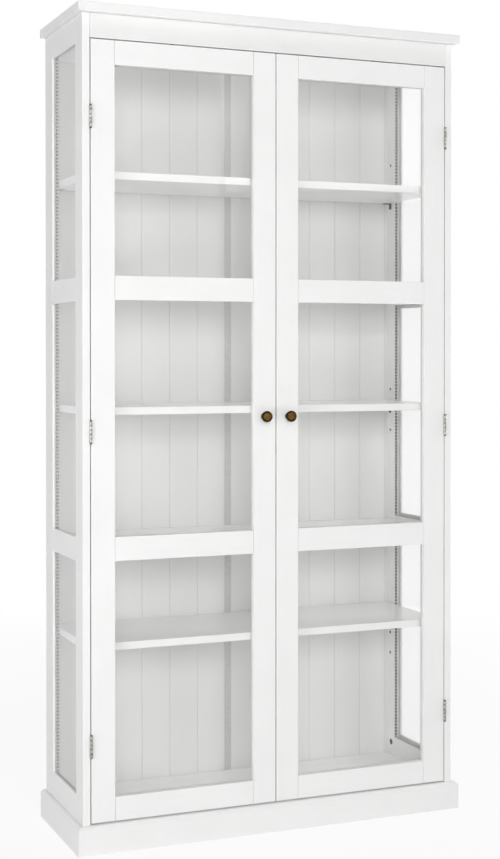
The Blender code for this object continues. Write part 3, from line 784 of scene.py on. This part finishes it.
def add_side_boards(side, sign):
    node = f"{side}_side_frame"
    whole = spans_of(node)
    inner = min(abs(x) for x in whole[X])
    panes = [f"{side}_side_{level}_pane" for level in LEVELS]
    boards = frame_boards(whole, openings(panes, SIDE_PANE_COVER), Y)
    names = rail_names(f"{side}_side")
    names["first"] = f"{side}_side_front_stile"
    names["last"] = f"{side}_side_rear_stile"
    cutters = [side_pane_cutter(pane, sign, inner) for pane in panes]
    pins = [
        side_hole(sign, inner, y, z, PIN_HOLE_RADIUS, PIN_HOLE_DEPTH, PIN_HOLE_SIDES)
        for y in support_depths(side)
        for z in hole_heights()
    ]
    places, cam_height = cam_places(side)
    cams = [
        side_hole(sign, inner, y, cam_height, CAM_RADIUS, CAM_DEPTH, WIDE_ROUND_SIDES)
        for y in places.values()
    ]
    cutters.append(mesh_of(joined(pins + cams), HOLE_WALL_SHADE))
    cutters.append(back_rebate_cutter(side, sign, inner))
    add_boards(names, boards, "cabinet", node, cutters)


def back_rebate_cutter(side, sign, inner):
    panel = grown(spans_of(f"back_panel_{side}"), CLEARANCE)
    far = max(abs(x) for x in panel[X])
    across = inward(sign, inner - CUT_PAST, far)
    rear = spans_of(f"{side}_side_frame")[Y][1]
    depths = (panel[Y][0], rear + CUT_PAST)
    return mesh_of(box_bm((across, depths, (panel[Z][0], panel[Z][1] + CUT_PAST))))


# Ribbed grey strips that hold the side panes
def rib_profile(start, pitch):
    """One rib with sloped flanks, as (x, height) points."""
    low, high = STRIP_FOOT / 2, STRIP_FOOT + RIB_RISE
    heights = (low, high, high, low)
    return [(start + share * pitch, height) for share, height in zip(RIB_SHARES, heights)]


def add_prism(bm, profile, depths, matrix, material_index):
    """A closed bar between two depths along Y, from its outline in X and Z."""
    ends = [
        [bm.verts.new(matrix @ Vector((x, depth, z))) for x, z in profile]
        for depth in depths
    ]
    faces = [bm.faces.new(end) for end in ends]
    for index in range(len(profile)):
        after = (index + 1) % len(profile)
        first, second = ends
        faces.append(bm.faces.new((first[index], first[after], second[after], second[index])))
    for face in faces:
        face.material_index = material_index


def add_ribbed_run(bm, length, matrix):
    """A flat foot on the wall, white beside the pane and near black under its grey ribs as
    painted shadow between them.
    """
    foot = [(0, 0), (length, 0), (length, STRIP_FOOT), (0, STRIP_FOOT)]
    add_prism(bm, foot, (0, STRIP_RIBS_START), matrix, EDGE_SLOT)
    # Near black under the ribs: painted shadow in the gaps between them.
    add_prism(bm, foot, (STRIP_RIBS_START, STRIP_DEPTH), matrix, SHADOW_SLOT)
    count = int(length / RIB_PITCH)
    for index in range(count):
        rib = rib_profile(index * length / count, length / count)
        add_prism(bm, rib, (STRIP_RIBS_START, STRIP_DEPTH), matrix, RIB_SLOT)


def add_side_strips(side, sign):
    """A ring of four ribbed runs on the rebate's walls round each side pane."""
    back = (-sign, 0, 0)
    for level in LEVELS:
        spans = spans_of(f"{side}_side_{level}_pane")
        face = sign * (min(abs(x) for x in spans[X]) - CLEARANCE)
        (low_y, high_y), (low_z, high_z) = spans[Y], spans[Z]
        inset = STRIP_FOOT + RIB_RISE
        start_y, wide = low_y + inset, high_y - low_y - 2 * inset
        tall = high_z - low_z
        runs = (
            (tall, (0, 0, 1), (0, 1, 0), (face, low_y, low_z)),
            (tall, (0, 0, 1), (0, -1, 0), (face, high_y, low_z)),
            (wide, (0, 1, 0), (0, 0, 1), (face, start_y, low_z)),
            (wide, (0, 1, 0), (0, 0, -1), (face, start_y, high_z)),
        )
        bm = bmesh.new()
        for length, along, up, origin in runs:
            add_ribbed_run(bm, length, axes_matrix(along, back, up, origin))
        bmesh.ops.recalc_face_normals(bm, faces=bm.faces)
        name = f"{side}_side_{level}_glazing_strip"
        mesh = mesh_of(bm, GREY_STRIP)
        mesh.materials.append(WHITE_PLASTIC)
        mesh.materials.append(RIB_GAP_SHADOW)
        add_piece(name, mesh, GREY_STRIP, "cabinet")


# Mitred glazing beads behind the door panes
def bead_profile(depth):
    """The bead's section as (inset, depth) points, its inner corner rounded."""
    points = [(0, 0), (BEAD_WIDTH, 0)]
    centre = (BEAD_WIDTH - BEAD_EDGE, depth - BEAD_EDGE)
    for step in range(BEAD_STEPS + 1):
        angle = math.pi / 2 * step / BEAD_STEPS
        points.append(
            (centre[0] + BEAD_EDGE * math.cos(angle), centre[1] + BEAD_EDGE * math.sin(angle))
        )
    points.append((0, depth))
    return points


def mitred_side(spans, axes, along, across, edge, profile, start):
    """One straight length of a mitred ring, from its section's points."""
    bm = bmesh.new()
    through = X + Y + Z - sum(axes)
    ends = []
    for end in (0, 1):
        ring = []
        for inset, depth in profile:
            point = [0, 0, 0]
            toward = 1 - 2 * end
            point[axes[along]] = spans[axes[along]][end] + toward * (inset + MITRE_GAP)
            point[axes[across]] = spans[axes[across]][edge] + (1 - 2 * edge) * inset
            point[through] = start + depth
            ring.append(bm.verts.new(point))
        ends.append(ring)
    count = len(profile)
    for index in range(count):
        after = (index + 1) % count
        bm.faces.new((ends[0][index], ends[0][after], ends[1][after], ends[1][index]))
    for ring in ends:
        bm.faces.new(ring)
    bmesh.ops.recalc_face_normals(bm, faces=bm.faces)
    return bm


def add_door_beads(side):
    rear = spans_of(f"{side}_door_frame")[Y][1]
    for level in LEVELS:
        spans = spans_of(f"{side}_door_{level}_pane")
        start = spans[Y][1] + CLEARANCE
        profile = bead_profile(rear - start)
        lengths = [
            mitred_side(spans, (X, Z), along, across, edge, profile, start)
            for along, across in ((0, 1), (1, 0))
            for edge in (0, 1)
        ]
        name = f"{side}_door_{level}_glazing_bead"
        add_piece(name, mesh_of(joined(lengths)), PAINT[Z], f"{side}_door")


# Small metal and plastic fittings
def cross_slot(length, width, depth, centre_z):
    """Two crossed bars that cut a screw's cross recess."""
    half, thin = length / 2, width / 2
    depths = (centre_z - depth, centre_z + CUT_PAST)
    first = box_bm(((-half, half), (-thin, thin), depths))
    second = box_bm(((-thin, thin), (-half, half), depths))
    return [mesh_of(first), mesh_of(second)]


def screw_head_mesh(radius, rise):
    """A low screw head on z = 0 with a cross recess."""
    sunk = SCREW_SUNK * radius
    middle = Matrix.Translation((0, 0, (rise - sunk) / 2))
    head = mesh_of(rod_bm(radius, rise + sunk, middle, ROUND_SIDES, rise / 2))
    length, width = SCREW_CROSS_LENGTH * radius, SCREW_CROSS_WIDTH * radius
    return cut(head, cross_slot(length, width, SCREW_CROSS_DEPTH * radius, rise))


def add_cams(side, sign):
    """Cam locks, flush in their holes at the foot of each side frame."""
    places, height = cam_places(side)
    inner = min(abs(x) for x in spans_of(f"{side}_side_frame")[X])
    radius = CAM_RADIUS - CLEARANCE
    depth = CAM_DEPTH - 2 * CLEARANCE
    middle = Matrix.Translation((0, 0, -depth / 2))
    body = mesh_of(rod_bm(radius, depth, middle, WIDE_ROUND_SIDES, FINE_EDGE))
    length, width = CAM_CROSS_LENGTH * radius, CAM_CROSS_WIDTH * radius
    cam = cut(body, cross_slot(length, width, CAM_CROSS_DEPTH * depth, 0))
    for end, y in places.items():
        face = (sign * (inner + CLEARANCE), y, height)
        matrix = axes_matrix((0, 1, 0), (0, 0, -sign), (-sign, 0, 0), face)
        mesh = mesh_of(placed(cam, matrix))
        add_piece(f"{side}_{end}_cam", mesh, DARK_STEEL, "cabinet")


def catch_spans(sign):
    shelf = spans_of("upper_fixed_shelf")
    wide, deep, tall = CATCH_SIZE
    front = shelf[Y][0] - CATCH_PROUD
    low = shelf[Z][1] + CLEARANCE
    middle = sign * CATCH_X
    return [(middle - wide / 2, middle + wide / 2), (front, front + deep), (low, low + tall)]


def add_catch(side, sign):
    """A magnetic catch on the shelf: a white case with two pole plates in its front."""
    spans = catch_spans(sign)
    middle, height = sum(spans[X]) / 2, sum(spans[Z]) / 2
    front, top = spans[Y][0], spans[Z][1]
    wide, tall, deep = POLE_SIZE
    slots = []
    poles = []
    for shift in (-POLE_SHIFT, POLE_SHIFT):
        across = (middle + shift - wide / 2, middle + shift + wide / 2)
        upright = (height - tall / 2, height + tall / 2)
        slots.append(mesh_of(box_bm((across, (front - CUT_PAST, front + deep), upright))))
        pole = grown((across, (front, front), upright), -CLEARANCE)
        pole[Y] = (front + CLEARANCE, front + deep)
        poles.append(box_bm(pole, FINE_EDGE))
    case = cut(mesh_of(box_bm(spans, CATCH_EDGE)), slots, WHITE_PLASTIC)
    head = screw_head_mesh(*CATCH_SCREW)
    heads = [
        placed(head, Matrix.Translation((middle + shift, sum(spans[Y]) / 2, top)))
        for shift in (-CATCH_SCREW_SHIFT, CATCH_SCREW_SHIFT)
    ]
    add_piece(f"{side}_catch_case", case, WHITE_PLASTIC, "cabinet")
    add_piece(f"{side}_catch_poles", mesh_of(joined(poles)), STEEL, "cabinet")
    add_piece(f"{side}_catch_screws", mesh_of(joined(heads)), STEEL, "cabinet")


def add_strike_plate(side, sign):
    """The steel plate on the door that the catch holds."""
    spans = catch_spans(sign)
    wide, thick, tall = STRIKE_SIZE
    rear = spans_of(f"{side}_door_frame")[Y][1]
    middle, height = sum(spans[X]) / 2, sum(spans[Z]) / 2
    plate = [
        (middle - wide / 2, middle + wide / 2),
        (rear + CLEARANCE, rear + CLEARANCE + thick),
        (height - tall / 2, height + tall / 2),
    ]
    bm = box_bm(plate, FINE_EDGE)
    add_piece(f"{side}_strike_plate", mesh_of(bm), STEEL, f"{side}_door")


# Shelf supports
def support_mesh(sign, spans):
    """A bent plate with rounded ends and a pin, in the place of one support node."""
    inner, outer = sorted((abs(x) for x in spans[X]))
    wall = outer - PIN_REACH
    face = wall - CLEARANCE
    shelf_side = spans[Z][1]
    ledge = [inward(sign, inner, face), spans[Y], (shelf_side - PLATE_GAUGE, shelf_side)]
    leg = [inward(sign, face - PLATE_GAUGE, face), spans[Y], (spans[Z][0], shelf_side)]
    height = shelf_side + CLEARANCE - PIN_DROP
    start = face - PLATE_GAUGE - FINE_EDGE
    middle = Matrix.Translation((sign * (start + outer) / 2, sum(spans[Y]) / 2, height))
    pin = rod_bm(PIN_RADIUS, outer - start, middle @ ALONG_X, ROUND_SIDES, FINE_EDGE)
    return mesh_of(joined((box_bm(ledge, FINE_EDGE), box_bm(leg, FINE_EDGE), pin)))


def add_supports(side, sign):
    for level in LEVELS:
        for end in ("front", "rear"):
            node = f"{level}_shelf_support_{side}_{end}"
            mesh = support_mesh(sign, spans_of(node))
            name = f"{level}_shelf_{side}_{end}_angle"
            add_piece(name, mesh, DARK_STEEL, "cabinet", node)


# Hinges
def knuckle_spans(first):
    pitch = HINGE_LENGTH / KNUCKLES
    gap = KNUCKLE_GAP / 2
    return [
        (pitch * index - HINGE_LENGTH / 2 + gap, pitch * (index + 1) - HINGE_LENGTH / 2 - gap)
        for index in range(first, KNUCKLES, 2)
    ]


def hinge_leaf_bm(node, plate_side, first_knuckle, with_pin):
    """One leaf: its plate in the gap beside the door, its knuckles and its screws."""
    spans = spans_of(node)
    outer = (spans[X][1] - spans[X][0]) / 2
    axis = Vector((sum(spans[X]) / 2, spans[Y][0] + outer, sum(spans[Z]) / 2))
    near = axis.x + plate_side * CLEARANCE
    far = near + plate_side * LEAF_THICKNESS
    half = HINGE_LENGTH / 2
    plate = [
        tuple(sorted((near, far))),
        (axis.y + KNUCKLE_RADIUS + CLEARANCE, spans[Y][1]),
        (axis.z - half, axis.z + half),
    ]
    pieces = [box_bm(plate, FINE_EDGE / 2, 2)]
    for low, high in knuckle_spans(first_knuckle):
        middle = Matrix.Translation(axis + Vector((0, 0, (low + high) / 2)))
        pieces.append(rod_bm(KNUCKLE_RADIUS, high - low, middle, WIDE_ROUND_SIDES, FINE_EDGE))
        tongue = [plate[0], (axis.y, plate[1][0] + CLEARANCE), (axis.z + low, axis.z + high)]
        pieces.append(box_bm(tongue))
    if with_pin:
        length = spans[Z][1] - spans[Z][0]
        middle = Matrix.Translation(axis)
        pin = rod_bm(PIN_SHARE * KNUCKLE_RADIUS, length, middle, ROUND_SIDES, PIN_EDGE)
        # The pin is a real part; its dark steel is painted shade in the knuckle gaps and at the
        # barrel's ends.
        pieces.append(in_slot(pin, PIN_SHADE_SLOT))
    toward = -plate_side
    head = screw_head_mesh(SCREW_RADIUS, SCREW_PROUD)
    for step in (-1, 0, 1):
        spot = (near, sum(plate[1]) / 2, axis.z + step * LEAF_SCREW_PITCH)
        matrix = axes_matrix((0, 1, 0), (0, 0, toward), (toward, 0, 0), spot)
        pieces.append(placed(head, matrix))
    return joined(pieces)


def add_hinges(side, sign):
    for level in LEVELS:
        for owner, body, plate_side, first, with_pin in (
            ("frame", "cabinet", sign, 0, True),
            ("door", f"{side}_door", -sign, 1, False),
        ):
            node = f"{side}_{level}_hinge_{owner}_leaf"
            bm = hinge_leaf_bm(node, plate_side, first, with_pin)
            name = f"{side}_{level}_hinge_{owner}_side"
            mesh = mesh_of(bm, STEEL)
            mesh.materials.append(DARK_STEEL)
            add_piece(name, mesh, STEEL, body, node)


# Knobs
def knob_profile(radius, projection):
    """From the middle of the face, over the rim and down the neck, as (radius, height)."""
    points = [(share * radius, projection - drop) for share, drop in KNOB_FACE]
    points += [(share * radius, height) for share, height in KNOB_BASE]
    foot = points[-1][0]
    return points + [(foot, CLEARANCE), (0, CLEARANCE)]


def turned_mesh(profile, sides, matrix):
    bm = bmesh.new()
    points = [bm.verts.new((radius, 0, height)) for radius, height in profile]
    edges = [bm.edges.new(pair) for pair in zip(points, points[1:])]
    bmesh.ops.spin(
        bm,
        geom=points + edges,
        cent=(0, 0, 0),
        axis=(0, 0, 1),
        angle=math.tau,
        steps=sides,
        use_merge=True,
    )
    bmesh.ops.remove_doubles(bm, verts=bm.verts, dist=SAME_POINT)
    bmesh.ops.recalc_face_normals(bm, faces=bm.faces)
    bm.transform(matrix)
    return mesh_of(bm)


def add_knob(side):
    node = f"{side}_knob"
    centre, radius = knob_place(side)
    front, rear = spans_of(node)[Y]
    face = rear + CLEARANCE
    matrix = axes_matrix((1, 0, 0), (0, 0, 1), (0, -1, 0), (centre.x, face, centre.z))
    mesh = turned_mesh(knob_profile(radius, face - front), KNOB_SIDES, matrix)
    add_piece(f"{side}_knob_turned", mesh, BRONZE, f"{side}_door", node)


# Studio
def add_floor():
    bm = bmesh.new()
    bmesh.ops.create_grid(bm, x_segments=1, y_segments=1, size=FLOOR_SIZE / 2)
    mesh = mesh_of(bm, studio_floor())
    floor = new_object("floor", mesh)


def add_lamp(name, place, size, watts):
    light = bpy.data.lights.new(name, "AREA")
    light.shape = "RECTANGLE"
    light.size, light.size_y = size
    light.energy = watts
    lamp = bpy.data.objects.new(name, light)
    bpy.context.scene.collection.objects.link(lamp)
    lamp.location = place
    lamp.visible_glossy = name != UNMIRRORED_LAMP
    lamp.rotation_euler = (Vector(LAMP_AIM) - Vector(place)).to_track_quat("-Z", "Y").to_euler()


def set_world():
    world = bpy.data.worlds.new("studio")
    world.use_nodes = True
    tree = world.node_tree
    background = tree.nodes["Background"]
    background.inputs["Color"].default_value = (*WHITE, 1)
    seen = seen_directly(tree, add_node(tree, "ShaderNodeLightPath"))
    level = mapped(tree, seen, (0.0, 1.0), (WORLD_LEVEL, 1.0))
    feed(tree, background.inputs["Strength"], level)
    bpy.context.scene.world = world


def add_camera():
    data = bpy.data.cameras.new("camera")
    data.sensor_width = SENSOR_WIDTH
    data.lens = FOCAL_PIXELS / PHOTO_HEIGHT * SENSOR_WIDTH
    data.shift_x = -AXIS_RIGHT_PIXELS / PHOTO_HEIGHT
    data.shift_y = -AXIS_UP_PIXELS / PHOTO_HEIGHT
    camera = bpy.data.objects.new("camera", data)
    bpy.context.scene.collection.objects.link(camera)
    camera.location = CAMERA_PLACE
    camera.rotation_euler = (math.pi / 2 + CAMERA_TILT, 0, CAMERA_TURN)
    bpy.context.scene.camera = camera


def dress_cabinet():
    add_plain_boards()
    add_header()
    repaint("plinth_front", PAINT[X])
    repaint("back_joint_strip", STRIP)
    for side, sign in SIDES.items():
        repaint(f"plinth_{side}", PAINT[Y])
        repaint(f"back_panel_{side}", BACKING)
        repaint(f"{side}_knob_screw", STEEL)
        for level in LEVELS:
            repaint(f"{side}_side_{level}_pane", GLASS)
            repaint(f"{side}_door_{level}_pane", GLASS)
        add_side_boards(side, sign)
        add_side_strips(side, sign)
        add_cams(side, sign)
        add_catch(side, sign)
        add_supports(side, sign)
        add_door_boards(side)
        add_door_beads(side)
        add_strike_plate(side, sign)
        add_hinges(side, sign)
        add_knob(side)


dress_cabinet()
add_floor()
set_world()
for name, (place, size, watts) in LAMPS.items():
    add_lamp(name, place, size, watts)
add_camera()
bpy.context.scene.view_settings.view_transform = "Standard"
